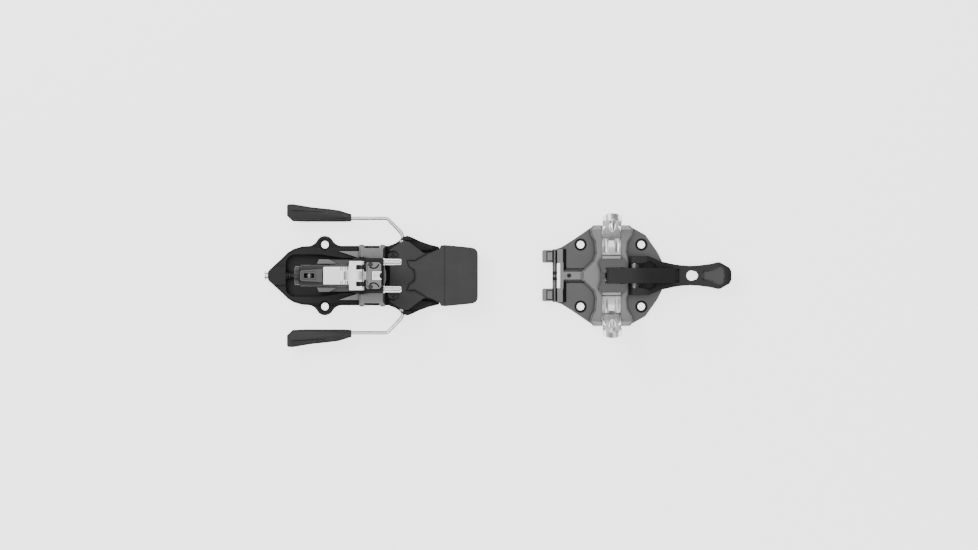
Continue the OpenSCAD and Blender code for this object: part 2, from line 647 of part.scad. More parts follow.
module climbing_flap() color([0.8, 0.8, 0.81]) difference() {
    union() {
        translate([0, 0, 56.5]) linear_extrude(3.7) {
            soften(0.8) polygon(both([[-238.7, 7.2], [-216, 7.2]]));
            soften(0.8) polygon(both([[-217.4, 12], [flap_x, 12]]));
            polygon(both([[-218, 6], [flap_x, 6]]));
        }
        translate([flap_x, 0, flap_z]) rod_y(2.4, -12, 12);
        pair() side_plate(9.9, 12) polygon([[-217.2, 57], [-217.2, 60.7], [-215.8, 61],
            [-206, 60.2], [-206, 57]]);
        // Rounded steps in front of the hinge
        pair() translate([-219.6, 0, 59]) rod_y(1.95, 4.2, 7.1);
        pair() translate([-223.8, 0, 59]) rod_y(1.6, 4.2, 6.9);
    }
    // Central channel and the two gaps round the hinge lugs
    translate([-214.8, 0, 78.7]) rod_y(20, -3.6, 3.6, $fn = 160);
    pair() block(-211.8, -200, 4.9, 8.9, 50, 70);
    pair() translate([0, 0, 58.8]) linear_extrude(9) soften(0.7) translate([-216.2, 4.9]) square([3.4, 4]);
    // Hollow underside
    translate([0, 0, 50]) linear_extrude(7.9) soften(1) polygon(both([[-236.6, 5.4], [-219, 5.4]]));
    translate([flap_x, 0, flap_z]) rod_y(1.5 + run, -20, 20);
}

module flap_axle() color([0.6, 0.6, 0.62]) translate([flap_x, 0, flap_z]) rod_y(1.5, -11.9, 11.9);

module flap_magnet() color([0.4, 0.4, 0.42]) translate([-231, 0, 56.6]) cylinder(r = 3, h = 1.28);

// ---------------------------------------------------------------- heel unit: brake
brake_x = -174.7;
brake_z = 12;
pad_hinge_x = -181;
pad_hinge_z = 9;
pad_z0 = 14.1;
pad_z1 = 16.5;
pad_top = 20;
wire_r = wire_d / 2;
crank_y = 19;
crank_x = -162.7;
ear_y = 29.7;            // inner face of each ear's raised rim
hinge_pin_r = 1.5;
frame_screw = [-182.5, 15.9];

module frame_plan() soften(1) polygon(both([
    [base_front + 0.02, 25.1], [-180.4, 27.2], [-173.6, 32.4], [-170.3, 33.4], [-167, 32.2], [-160, 28.9],
    [-151.8, 26], [-144.4, 24.3], [-143.4, 21], [-141.8, 12], [-124, 9]
]));

module brake_frame() color([0.1, 0.1, 0.105]) difference() {
    union() {
        linear_extrude(3.6) difference() {
            frame_plan();
            translate([-260, -60]) square([260 + base_front + 0.02, 120]);
        }
        linear_extrude(11) difference() {
            intersection() {
                frame_plan();
                translate([base_front + 0.02, -60]) square([36, 120]);
            }
            offset(delta = -3.4) frame_plan();
            translate([-184.6, -9.9]) square([10, 19.8]);
        }
        // Ears that carry the wires
        intersection() {
            linear_extrude(40) frame_plan();
            pair() union() {
                side_plate(21.4, 40) polygon([
                    [-183.4, 0], [-180.4, brake_z], [-166, brake_z], [-158, 10.6], [-148, 9], [-148, 0]
                ]);
                side_plate(ear_y, 40) polygon([
                    [-183.4, 0], [-180.4, 12], [-177.4, 16.6], [-167, 16.6], [-160, 12], [-148, 9],
                    [-148, 0]
                ]);
            }
        }
        pair() linear_extrude(6.8) translate(frame_screw) circle(r = 6.2);
        pair() side_plate(10, 13.6) polygon([
            [-184.6, 0], [-184.6, 10], [-182.6, 12], [-179.4, 12], [-177.4, 10], [-175.4, 3]
        ]);
        block(-185.9, -184.6, -14, 14, 0, 8);
    }
    pair() translate([frame_screw[0], frame_screw[1], -1]) {
        cylinder(r = 2.8 + hold, h = 20);
        translate([0, 0, 5]) cylinder(r = 4.9, h = 20);
    }
    pair() translate([brake_x, 0, brake_z]) rod_y(wire_r + run, 15, 40);
    // Windows for the springs
    pair() block(-179, -170.4, 25, 29.6, 7.4, 40);
    translate([pad_hinge_x, 0, pad_hinge_z]) rod_y(hinge_pin_r + hold, -13.4, 13.4);
    block(-200, base_front + 0.02, -40, 40, -1, 40);
}

module brake_frame_screws() color([0.25, 0.25, 0.25]) pair()
    translate([frame_screw[0], frame_screw[1], 0]) {
    difference() {
        union() {
            translate([0, 0, 5.05]) cylinder(r = 4.6, h = 2);
            translate([0, 0, 0.3]) cylinder(r = 2.8, h = 5);
        }
        translate([0, 0, 6]) {
            block(-2.6, 2.6, -0.5, 0.5, 0, 4);
            block(-0.5, 0.5, -2.6, 2.6, 0, 4);
        }
    }
}

module brake_hinge_pin() color([0.6, 0.6, 0.62]) translate([pad_hinge_x, 0, pad_hinge_z])
    rod_y(hinge_pin_r, -13.3, 13.3);

module brake_springs() color([0.7, 0.7, 0.7]) pair() translate([brake_x, 25.3, brake_z]) rotate([-90, 0, 0])
    coil(2.2, 0.4, 3.9, 2);

module pad_outline() soften(1) polygon(both([
    [-185.4, 22], [-176.6, 28], [-172.4, 29.4], [-169.4, 28.8], [-157, 19.4], [-152, 18.9], [-143.6, 22.6],
    [-142.6, 25.2], [-139, 25.6], [-120, 23.8], [-115.6, 23.2],
    [-113.2, 22], [-112, 20], [-111.6, 17.6]
]));

module brake_pad_plate() color([0.15, 0.15, 0.155]) difference() {
    union() {
        translate([0, 0, pad_z0]) linear_extrude(pad_z1 - pad_z0) offset(delta = -0.4) pad_outline();
        pair() side_plate(4, 9.6) polygon([
            [pad_hinge_x - 2, pad_hinge_z - 2], [pad_hinge_x + 2, pad_hinge_z - 2.4], [-172, pad_z0 + 0.2],
            [-177.2, pad_z0 + 0.2], [pad_hinge_x - 2, pad_hinge_z + 2.4]
        ]);
        pair() translate([pad_hinge_x, 0, pad_hinge_z]) rod_y(3, 4, 9.6);
        // Stiffening ribs below the plate
        for (y = [-12, -4, 4, 12]) block(-160, -116, y - 0.8, y + 0.8, 9.4, pad_z0 + 0.1);
    }
    translate([pad_hinge_x, 0, pad_hinge_z]) rod_y(hinge_pin_r + run, -20, 20);
    pair() translate([frame_screw[0], frame_screw[1], 10]) cylinder(r = 5, h = 20);
    // Round the front of the turret
    translate([turret_x, 0, 10]) cylinder(r = 23.4, h = 20);
    // Room for the springs
    pair() block(-179.6, -169.8, 24.9, 30, 10, 15.3);
    pad_screw_places() translate([0, 0, 10]) cylinder(r = 1.5 + hold, h = 20);
    // Groove along the rear edge of the cap
    translate([0, 0, pad_z1 - 1.1]) linear_extrude(5) intersection() {
        difference() {
            offset(delta = 0.9) cap_plan();
            cap_plan();
        }
        translate([-180, -30]) square([27, 60]);
    }
}

module pad_screw_places() for (x = [-150, -122], y = [-8, 8]) translate([x, y, 0]) children();

module brake_pad_cap() color([0.16, 0.16, 0.165]) difference() {
    union() {
        translate([0, 0, pad_z1 + hold]) linear_extrude(pad_top - pad_z1 - 1) cap_plan();
        translate([0, 0, pad_z1 + hold]) linear_extrude(pad_top - pad_z1) offset(delta = -0.8) cap_plan();
        // Skirt of the front block
        translate([0, 0, 11]) linear_extrude(7) difference() {
            intersection() {
                pad_outline();
                translate([-142.6, -40]) square([60, 80]);
            }
            offset(delta = -0.38) pad_outline();
        }
    }
    pad_screw_places() translate([0, 0, 10]) cylinder(r = 1.5 + hold, h = 8.4);
    // Crease behind the front block
    block(-139.5, -139, -40, 40, 19.4, 30);
}

module cap_plan() intersection() {
    pad_outline();
    polygon(both([
        [-163.9, 1.5], [-164.6, 4.7], [-168.6, 7.5], [-170.3, 12.1], [-163.9, 12.1], [-153.5, 18.3],
        [-146, 30], [-100, 40]
    ]));
}

module brake_pad_screws() color([0.3, 0.3, 0.3]) pad_screw_places() {
    translate([0, 0, pad_z0 - 1.9]) cylinder(r = 2.6, h = 1.88);
    translate([0, 0, pad_z0 - 1.9]) cylinder(r = 1.5, h = 5.9);
}

// The wire runs back along the ski, in towards the ear, through it and forwards as a crank
wire_route = [
    [-245, brake_arm_y], [-187.4, brake_arm_y], [-177.2, 37.6], [brake_x, 34.6],
    [brake_x, crank_y], [crank_x, crank_y]
];

// The route with each corner replaced by a short curve that starts and ends at the given distance from it
function unit(v) = v / norm(v);
function curved(route, reach, steps) = [
    route[0],
    for (i = [1 : len(route) - 2])
        let (
            corner = route[i],
            start = corner + reach * unit(route[i - 1] - corner),
            end = corner + reach * unit(route[i + 1] - corner)
        )
        for (s = [0 : steps]) let (t = s / steps)
            pow(1 - t, 2) * start + 2 * t * (1 - t) * corner + t * t * end,
    route[len(route) - 1]
];

// A flat route swept with a round section
module bent_wire(route, radius) {
    sides = 16;
    last = len(route) - 1;
    function heading(i) = unit(route[min(i + 1, last)] - route[max(i - 1, 0)]);
    function ring(i) = [
        for (k = [0 : sides - 1]) let (a = 360 * k / sides, along = heading(i))
            [
                route[i][0] - radius * cos(a) * along[1],
                route[i][1] + radius * cos(a) * along[0],
                radius * sin(a)
            ]
    ];
    walls = [
        for (i = [0 : last - 1]) for (k = [0 : sides - 1])
            let (a = i * sides + k, b = i * sides + (k + 1) % sides)
            each [[a, b, a + sides], [b, b + sides, a + sides]]
    ];
    first = [for (k = [sides - 1 : -1 : 0]) k];
    end = [for (k = [0 : sides - 1]) last * sides + k];
    polyhedron([for (i = [0 : last]) each ring(i)], concat(walls, [first], [end]));
}

module brake_wire() translate([0, 0, brake_z]) bent_wire(curved(wire_route, 1.9, 4), wire_r);
module brake_wire_left() color([0.85, 0.85, 0.86]) brake_wire();
module brake_wire_right() color([0.85, 0.85, 0.86]) mirror([0, 1, 0]) brake_wire();

module tip_plan() polygon([
    [-271.2, 50], [-271.2, 58.6], [-270.2, 59.7], [-266, 59.8], [-251, 57.3], [-235.8, 55.7], [-228, 54.7],
    [-217.4, 51.4], [-217.4, 45.4], [-223, 45], [-256, 45], [-266.4, 45.4]
]);

module brake_tip() difference() {
    union() {
        translate([0, 0, brake_z - 2.8]) linear_extrude(5.6) tip_plan();
        translate([0, 0, brake_z - 4]) linear_extrude(8) offset(delta = -1.2) tip_plan();
        // Roof of flat facets that meet in a ridge
        hull() {
            translate([0, 0, brake_z + 3.9]) linear_extrude(0.1) offset(delta = -1.8) tip_plan();
            translate([0, 0, brake_z + 5.3]) linear_extrude(0.1)
                polygon([[-266, 54.8], [-266, 53.8], [-226, 49.4], [-222, 48.6], [-222, 49.2],
                    [-234, 51.4]]);
        }
    }
    translate([0, brake_arm_y, brake_z]) rod_x(wire_r + hold, -245.1, -200);
    // Finger groove along the ridge
    translate([0, 0, brake_z + 4.3]) linear_extrude(5) polygon([[-267.6, 54], [-267.6, 55],
        [-239, 53.3], [-239, 52.7]]);
}
module brake_tip_left() color([0.14, 0.14, 0.145]) brake_tip();
module brake_tip_right() color([0.14, 0.14, 0.145]) mirror([0, 1, 0]) brake_tip();

// ---------------------------------------------------------------- drawing
toe_plate();
toe_cover();
toe_cover_screws();
wing_axle_left();
wing_axle_right();
toe_wing_left();
toe_wing_right();
toe_pin_left();
toe_pin_right();
toe_springs();
spring_block();
toe_lever();
lever_axle();
crampon_bar();
crampon_bar_rings();
rib_set_screw();
heel_base();
length_screw();
length_screw_head();
length_screw_bush();
carriage();
carriage_nut();
carriage_inserts();
turret_post();
turret_circlip();
release_cam();
turret_body();
turret_front_plate();
turret_cover();
lateral_cradle();
lateral_adjuster();
lateral_release_spring();
lateral_release_plunger();
pin_arm_left();
pin_arm_right();
heel_pin_left();
heel_pin_right();
pin_arm_pivots();
vertical_adjuster();
release_indicator();
vertical_release_spring();
vertical_release_plunger();
climbing_flap();
flap_axle();
flap_magnet();
brake_frame();
brake_frame_screws();
brake_hinge_pin();
brake_springs();
brake_pad_plate();
brake_pad_cap();
brake_pad_screws();
brake_wire_left();
brake_wire_right();
brake_tip_left();
brake_tip_right();
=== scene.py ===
"""Looks, light and camera for the ski-touring binding. Lengths are in metres, in the CAD frame."""
import json
import math

import bpy
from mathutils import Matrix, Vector


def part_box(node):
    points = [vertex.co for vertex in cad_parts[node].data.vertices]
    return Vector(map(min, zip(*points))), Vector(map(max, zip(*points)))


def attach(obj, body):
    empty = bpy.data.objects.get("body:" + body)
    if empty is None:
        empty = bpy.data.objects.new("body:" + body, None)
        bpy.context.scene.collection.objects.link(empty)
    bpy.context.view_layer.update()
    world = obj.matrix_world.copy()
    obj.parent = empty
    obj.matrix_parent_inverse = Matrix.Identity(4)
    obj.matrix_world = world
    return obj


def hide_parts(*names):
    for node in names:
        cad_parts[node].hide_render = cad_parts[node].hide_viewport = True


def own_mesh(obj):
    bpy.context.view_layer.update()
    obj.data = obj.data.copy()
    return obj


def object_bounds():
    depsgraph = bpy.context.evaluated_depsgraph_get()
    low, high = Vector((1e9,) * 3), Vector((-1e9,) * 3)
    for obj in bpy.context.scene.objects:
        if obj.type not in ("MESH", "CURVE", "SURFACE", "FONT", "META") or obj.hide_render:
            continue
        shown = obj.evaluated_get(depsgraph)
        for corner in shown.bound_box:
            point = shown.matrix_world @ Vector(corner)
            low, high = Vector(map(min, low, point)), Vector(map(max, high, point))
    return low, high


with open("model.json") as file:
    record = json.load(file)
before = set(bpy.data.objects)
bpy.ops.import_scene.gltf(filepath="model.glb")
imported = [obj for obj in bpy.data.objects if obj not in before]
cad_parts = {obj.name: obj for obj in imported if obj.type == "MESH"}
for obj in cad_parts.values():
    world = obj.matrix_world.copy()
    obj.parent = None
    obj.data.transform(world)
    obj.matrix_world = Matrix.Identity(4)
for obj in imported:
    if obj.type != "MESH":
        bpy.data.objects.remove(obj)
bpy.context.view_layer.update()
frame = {"nodes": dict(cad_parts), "record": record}

MM = 0.001
nodes = frame["nodes"]
record = frame["record"]
slot_of = {part["node"]: part["material_slot"] for part in record["subparts"]}


# ---------------------------------------------------------------- camera, floor and light
# The photo looks straight down with little perspective, so the camera is high up with a long lens
VIEW_CENTRE = Vector((-102.3, 0.5, 0)) * MM
VIEW_WIDTH = 821.5 * MM
CAMERA_HEIGHT = 3.0
SENSOR = 36.0


def add_camera():
    data = bpy.data.cameras.new("camera")
    data.sensor_width = SENSOR
    data.lens = SENSOR * CAMERA_HEIGHT / VIEW_WIDTH
    data.clip_start = 0.05
    data.clip_end = 20
    camera = bpy.data.objects.new("camera", data)
    camera.location = VIEW_CENTRE + Vector((0, 0, CAMERA_HEIGHT))
    bpy.context.scene.collection.objects.link(camera)
    bpy.context.scene.camera = camera


def add_light(name, place, aim, power, size):
    """A rectangular soft box that looks at a point."""
    data = bpy.data.lights.new(name, "AREA")
    data.energy = power
    data.shape = "RECTANGLE"
    data.size, data.size_y = size
    light = bpy.data.objects.new(name, data)
    light.location = place
    light.rotation_euler = (Vector(aim) - Vector(place)).to_track_quat("-Z", "Y").to_euler()
    bpy.context.scene.collection.objects.link(light)


# How bright the studio is at each height, from straight down at 0 to straight up at 1
SKY = ((0.0, 0.12), (0.22, 0.32), (0.42, 0.26), (0.62, 0.06), (0.78, 0.12), (0.94, 1.0))
SKY_STRENGTH = 1.9


def add_world():
    """A round studio: a bright ceiling, a dark ring below it, a soft wall, and a darker side in front."""
    world = bpy.data.worlds.new("studio")
    world.use_nodes = True
    tree = world.node_tree
    way = tree.nodes.new("ShaderNodeTexCoord")
    parts = tree.nodes.new("ShaderNodeSeparateXYZ")
    tree.links.new(way.outputs["Generated"], parts.inputs[0])
    ramp = tree.nodes.new("ShaderNodeValToRGB")
    ramp.color_ramp.interpolation = "EASE"
    for i, (place, level) in enumerate(SKY):
        stop = ramp.color_ramp.elements[i] if i < 2 else ramp.color_ramp.elements.new(place)
        stop.position = place
        stop.color = (level, level, level, 1)
    tree.links.new(parts.outputs["Z"], ramp.inputs["Fac"])
    side = tree.nodes.new("ShaderNodeMapRange")
    side.inputs["From Min"].default_value = 0.15
    side.inputs["From Max"].default_value = 0.6
    side.inputs["To Min"].default_value = 1.0
    side.inputs["To Max"].default_value = 0.3
    tree.links.new(parts.outputs["X"], side.inputs["Value"])
    mix = tree.nodes.new("ShaderNodeMix")
    mix.data_type = "RGBA"
    mix.blend_type = "MULTIPLY"
    mix.inputs["Factor"].default_value = 1.0
    tree.links.new(ramp.outputs["Color"], mix.inputs[6])
    tree.links.new(side.outputs["Result"], mix.inputs[7])
    background = tree.nodes["Background"]
    tree.links.new(mix.outputs[2], background.inputs["Color"])
    background.inputs["Strength"].default_value = SKY_STRENGTH
    bpy.context.scene.world = world


def add_studio():
    add_world()
    middle = (VIEW_CENTRE.x, 0, 0.02)
    add_light("key", (VIEW_CENTRE.x - 0.75, 0.7, 1.1), middle, 11, (0.7, 0.7))
    add_light("fill", (VIEW_CENTRE.x + 0.8, -0.9, 0.9), middle, 2.5, (1.0, 0.6))
    add_light("strip_left", (VIEW_CENTRE.x, 0.95, 0.22), middle, 3.0, (1.6, 0.2))
    add_light("strip_right", (VIEW_CENTRE.x, -0.95, 0.22), middle, 2.4, (1.6, 0.2))


def add_floor():
    """Pale paper, a hair below the part, that glows a little so that it stays pale around it."""
    mesh = bpy.data.meshes.new("floor")
    half, gap = 4.0, 0.5 * MM
    corners = [(-half, -half, 0), (half, -half, 0), (half, half, 0), (-half, half, 0)]
    mesh.from_pydata(corners, [], [(0, 1, 2, 3)])
    floor = bpy.data.objects.new("floor", mesh)
    floor.location.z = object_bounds()[0][2] - gap
    bpy.context.scene.collection.objects.link(floor)
    paper = bpy.data.materials.new("paper")
    paper.use_nodes = True
    shader = paper.node_tree.nodes["Principled BSDF"]
    shader.inputs["Base Color"].default_value = (0.93, 0.93, 0.93, 1)
    shader.inputs["Roughness"].default_value = 0.9
    shader.inputs["Specular IOR Level"].default_value = 0.1
    shader.inputs["Emission Color"].default_value = (1, 1, 1, 1)
    shader.inputs["Emission Strength"].default_value = 2.2
    mesh.materials.append(paper)


# ---------------------------------------------------------------- materials
class Nodes:
    """A short hand for building a material's node tree."""

    def __init__(self, name):
        self.material = bpy.data.materials.new(name)
        self.material.use_nodes = True
        self.tree = self.material.node_tree
        self.shader = self.tree.nodes["Principled BSDF"]
        self.place = self.add("ShaderNodeTexCoord").outputs["Object"]

    def add(self, kind, **settings):
        node = self.tree.nodes.new(kind)
        for key, value in settings.items():
            setattr(node, key, value)
        return node

    def link(self, source, target):
        self.tree.links.new(source, target)

    def noise(self, scale, detail=3.0, rough=0.6, stretch=None):
        source = self.place
        if stretch:
            mapping = self.add("ShaderNodeMapping")
            mapping.inputs["Scale"].default_value = stretch
            self.link(source, mapping.inputs["Vector"])
            source = mapping.outputs["Vector"]
        node = self.add("ShaderNodeTexNoise")
        node.inputs["Scale"].default_value = scale
        node.inputs["Detail"].default_value = detail
        node.inputs["Roughness"].default_value = rough
        self.link(source, node.inputs["Vector"])
        return node.outputs["Fac"]

    def ramp(self, source, low, high, out_low=0.0, out_high=1.0):
        node = self.add("ShaderNodeMapRange")
        node.inputs["From Min"].default_value = low
        node.inputs["From Max"].default_value = high
        node.inputs["To Min"].default_value = out_low
        node.inputs["To Max"].default_value = out_high
        self.link(source, node.inputs["Value"])
        return node.outputs["Result"]

    def math(self, kind, a, b):
        node = self.add("ShaderNodeMath", operation=kind)
        for i, value in enumerate((a, b)):
            if isinstance(value, (int, float)):
                node.inputs[i].default_value = value
            else:
                self.link(value, node.inputs[i])
        return node.outputs[0]

    def mix(self, amount, a, b):
        node = self.add("ShaderNodeMix", data_type="RGBA")
        self.link(amount, node.inputs["Factor"])
        for key, value in (("A", a), ("B", b)):
            socket = [s for s in node.inputs if s.name == key and s.type == "RGBA"][0]
            if isinstance(value, tuple):
                socket.default_value = (*value, 1)
            else:
                self.link(value, socket)
        return [s for s in node.outputs if s.type == "RGBA"][0]

    def worn_edges(self, radius, strength, patchy):
        """1 on convex and concave edges, broken up by noise, and 0 on flat faces."""
        bevel = self.add("ShaderNodeBevel", samples=4)
        bevel.inputs["Radius"].default_value = radius
        geometry = self.add("ShaderNodeNewGeometry")
        dot = self.add("ShaderNodeVectorMath", operation="DOT_PRODUCT")
        self.link(bevel.outputs["Normal"], dot.inputs[0])
        self.link(geometry.outputs["Normal"], dot.inputs[1])
        edge = self.ramp(dot.outputs["Value"], 0.995, 0.90)
        broken = self.ramp(self.noise(patchy), 0.35, 0.65)
        return self.math("MULTIPLY", self.math("MULTIPLY", edge, broken), strength)

    def painted_hollow_shade(self, reach, darkest):
        """Painted shade: 1 in the open and less in corners and hollows, darkened by ambient occlusion as if
        shade fell there.
        """
        node = self.add("ShaderNodeAmbientOcclusion", samples=8)
        node.inputs["Distance"].default_value = reach
        return self.ramp(node.outputs["AO"], 0.25, 0.85, darkest, 1.0)

    def dim(self, colour, amount):
        """The colour times the amount."""
        node = self.add("ShaderNodeMix", data_type="RGBA", blend_type="MULTIPLY")
        node.inputs["Factor"].default_value = 1.0
        self.link(colour, node.inputs[6])
        self.link(amount, node.inputs[7])
        return node.outputs[2]

    def painted_wall_shade(self, darkest):
        """Painted shade: 1 on faces that look up and less on the walls, darkened as if less light fell on
        them.
        """
        parts = self.add("ShaderNodeSeparateXYZ")
        self.link(self.add("ShaderNodeTexCoord").outputs["Normal"], parts.inputs[0])
        return self.ramp(parts.outputs["Z"], 0.35, 0.92, darkest, 1.0)

    def height(self, low, high, out_low, out_high):
        """Goes from out_low to out_high between two heights, which are in millimetres."""
        parts = self.add("ShaderNodeSeparateXYZ")
        self.link(self.place, parts.inputs[0])
        return self.ramp(parts.outputs["Z"], low * MM, high * MM, out_low, out_high)

    def near(self, places, radius, soft):
        """1 within a radius of vertical lines at the places, in plan, and 0 outside."""
        flat = self.add("ShaderNodeMapping")
        flat.inputs["Scale"].default_value = (1, 1, 0)
        self.link(self.place, flat.inputs["Vector"])
        closest = None
        for place in places:
            gap = self.add("ShaderNodeVectorMath", operation="DISTANCE")
            self.link(flat.outputs["Vector"], gap.inputs[0])
            gap.inputs[1].default_value = (place[0], place[1], 0)
            value = gap.outputs["Value"]
            closest = value if closest is None else self.math("MINIMUM", closest, value)
        return self.ramp(closest, radius + soft, radius - soft)

    def bump(self, height, distance):
        node = self.add("ShaderNodeBump")
        node.inputs["Distance"].default_value = distance
        node.inputs["Strength"].default_value = 1.0
        self.link(height, node.inputs["Height"])
        return node.outputs["Normal"]


def shade(value, factor):
    return tuple(min(1.0, channel * factor) for channel in value)


# painted shade: the near black of the shadow inside a screw hole's countersink
RIM_SHADE = (0.012, 0.012, 0.012)


def alloy(name, colour, metallic, rough, edge, grain, depth, wear=0.6, brushed=None, shadow=0.35,
          rims=None, walls=0.45, lift=None, gloss=0.5):
    """Metal with a blasted or brushed grain, a mottled finish and bright worn edges, with painted shade in
    its hollows and on its upright faces.

    wear is how much the edges show, shadow how dark the painted shade in the hollows gets and walls how dark
    the painted shade on the upright faces is. rims are places, in plan, with a painted dark ring of shade.
    lift darkens what is low, as painted shade.
    """
    n = Nodes(name)
    mottled = n.ramp(n.noise(90, 4), 0.3, 0.7)
    finish = n.mix(mottled, shade(colour, 0.93), shade(colour, 1.06))
    if wear:
        finish = n.mix(n.worn_edges(0.35 * MM, wear, 260), finish, edge)
    # painted shade: corners and hollows darkened, standing in for the shade that falls there
    if shadow:
        finish = n.dim(finish, n.painted_hollow_shade(3.5 * MM, shadow))
    # painted shade: upright faces darkened, standing in for the light they miss
    finish = n.dim(finish, n.painted_wall_shade(walls))
    # painted shade: low surfaces darkened
    if lift:
        finish = n.dim(finish, n.height(*lift))
    # painted shade: a dark ring round each listed place, standing in for the shadow in a countersink
    if rims:
        places, radius = rims
        finish = n.mix(n.near(places, radius, 0.15 * MM), finish, RIM_SHADE)
    n.link(finish, n.shader.inputs["Base Color"])
    n.shader.inputs["Metallic"].default_value = metallic
    n.shader.inputs["Specular IOR Level"].default_value = gloss
    smear = n.ramp(n.noise(45, 5), 0.25, 0.75, rough - 0.05, rough + 0.07)
    fine = n.ramp(n.noise(grain, 2), 0.2, 0.8, -0.03, 0.03)
    n.link(n.math("ADD", smear, fine), n.shader.inputs["Roughness"])
    texture = n.noise(grain, 2, stretch=brushed)
    n.link(n.bump(texture, depth), n.shader.inputs["Normal"])
    return n.material


def polymer(name, colour, rough, grain, depth, edge=1.7, thumb_highlight=None):
    """Moulded plastic with a spark-eroded texture, scuffs, slightly rubbed lighter edges, painted shade in
    its hollows and, where asked, painted highlights on some spots.
    """
    n = Nodes(name)
    clouds = n.ramp(n.noise(60, 5), 0.3, 0.7)
    body = n.mix(clouds, shade(colour, 0.9), shade(colour, 1.1))
    worn = n.worn_edges(0.4 * MM, 0.5, 320)
    # painted shade: the colour is darkened in corners and hollows
    finish = n.dim(n.mix(worn, body, shade(colour, edge)), n.painted_hollow_shade(4 * MM, 0.3))
    # painted highlight: lighter spots where the thumb rest's facets catch the light
    if thumb_highlight:
        places, radius = thumb_highlight
        finish = n.mix(n.near(places, radius, 0.8 * MM), finish, shade(colour, 3.2))
    n.link(finish, n.shader.inputs["Base Color"])
    scuffs = n.ramp(n.noise(700, 6, 0.7, stretch=(0.12, 1, 1)), 0.62, 0.74, 0.0, 0.12)
    base = n.ramp(n.noise(grain, 3), 0.3, 0.7, rough - 0.05, rough + 0.05)
    n.link(n.math("ADD", base, scuffs), n.shader.inputs["Roughness"])
    n.shader.inputs["Specular IOR Level"].default_value = 0.25
    n.link(n.bump(n.noise(grain, 3), depth), n.shader.inputs["Normal"])
    return n.material


def rubber(name, colour):
    """Matt rubber with a little dust on it."""
    n = Nodes(name)
    dust = n.ramp(n.noise(400, 5), 0.45, 0.8)
    n.link(n.mix(dust, colour, shade(colour, 2.2)), n.shader.inputs["Base Color"])
    n.link(n.ramp(n.noise(1500, 3), 0.3, 0.7, 0.75, 0.9), n.shader.inputs["Roughness"])
    n.link(n.bump(n.noise(2600, 2), 0.008 * MM), n.shader.inputs["Normal"])
    return n.material


def screw_places(name):
    """Where the screws of a mount pass through, in plan."""
    mount = [m for m in record["mounts"] if m["name"] == name][0]
    dims, centre = mount["dims"], mount["pos_m"]
    half_x, half_y = dims["spacing_x_mm"] / 2 * MM, dims["spacing_y_mm"] / 2 * MM
    return [(centre[0] + x, centre[1] + y) for x in (-half_x, half_x) for y in (-half_y, half_y)]


def thumb_highlight_places():
    """Spots on the lever's thumb rest that get a painted highlight, where its facets catch the light, in
    millimetres back from its end.
    """
    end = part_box("toe_lever")[1][0]
    middle = [(20.6, 0), (13.6, 0), (9.6, 0)]
    beside = [(back, side) for back, y in ((16.6, 1), (12.6, 3), (10.1, 4.2)) for side in (y, -y)]
    return [(end - back * MM, y * MM) for back, y in middle + beside]


ALONG_X = (0.03, 1, 1)                              # a brushed grain that runs along the object
# painted shade: dark rings round the toe screw holes, for the shadow in their countersinks
SCREW_RIM_SHADE = (screw_places("toe_screws"), 5.15 * MM)
# painted highlight on the lever's thumb rest
THUMB_HIGHLIGHT = (thumb_highlight_places(), 3.6 * MM)
LOW_PARTS = (4.4, 8, 0.52, 1.0)                     # painted shade: the toe plate's flange is darker than its housing

MATERIALS = {
    "anodised_grey": alloy("anodised_grey", (0.20, 0.20, 0.203), 0.85, 0.36, (0.40, 0.40, 0.405), 5200,
                           0.002 * MM, rims=SCREW_RIM_SHADE, lift=LOW_PARTS),
    "anodised_dark": alloy("anodised_dark", (0.095, 0.095, 0.097), 0.8, 0.38, (0.26, 0.26, 0.265), 5200,
                           0.002 * MM),
    "black_alloy": alloy("black_alloy", (0.031, 0.031, 0.0315), 0.0, 0.52, (0.08, 0.08, 0.082), 5200,
                         0.002 * MM, wear=0.4, gloss=0.12),
    "silver_alloy": alloy("silver_alloy", (0.90, 0.90, 0.905), 1.0, 0.30, (0.94, 0.94, 0.95), 2400,
                          0.0002 * MM, wear=0, shadow=0, walls=0.92),
    "steel": alloy("steel", (0.88, 0.88, 0.89), 1.0, 0.25, (0.95, 0.95, 0.96), 1500, 0.0002 * MM,
                   wear=0, brushed=ALONG_X, shadow=0, walls=0.85),
    "dark_steel": alloy("dark_steel", (0.045, 0.045, 0.046), 0.7, 0.36, (0.20, 0.20, 0.205), 3000,
                        0.001 * MM),
    "brass": alloy("brass", (0.72, 0.53, 0.24), 1.0, 0.3, (0.85, 0.68, 0.38), 1500, 0.001 * MM),
    "lever_black": polymer("lever_black", (0.026, 0.026, 0.027), 0.42, 2600, 0.004 * MM, thumb_highlight=THUMB_HIGHLIGHT),
    "pad_charcoal": polymer("pad_charcoal", (0.050, 0.050, 0.051), 0.5, 2200, 0.006 * MM),
    "tip_charcoal": polymer("tip_charcoal", (0.036, 0.036, 0.037), 0.5, 2200, 0.006 * MM),
    "black_polymer": polymer("black_polymer", (0.009, 0.009, 0.0093), 0.5, 2600, 0.004 * MM),
    "black_rubber": rubber("black_rubber", (0.010, 0.010, 0.010)),
}

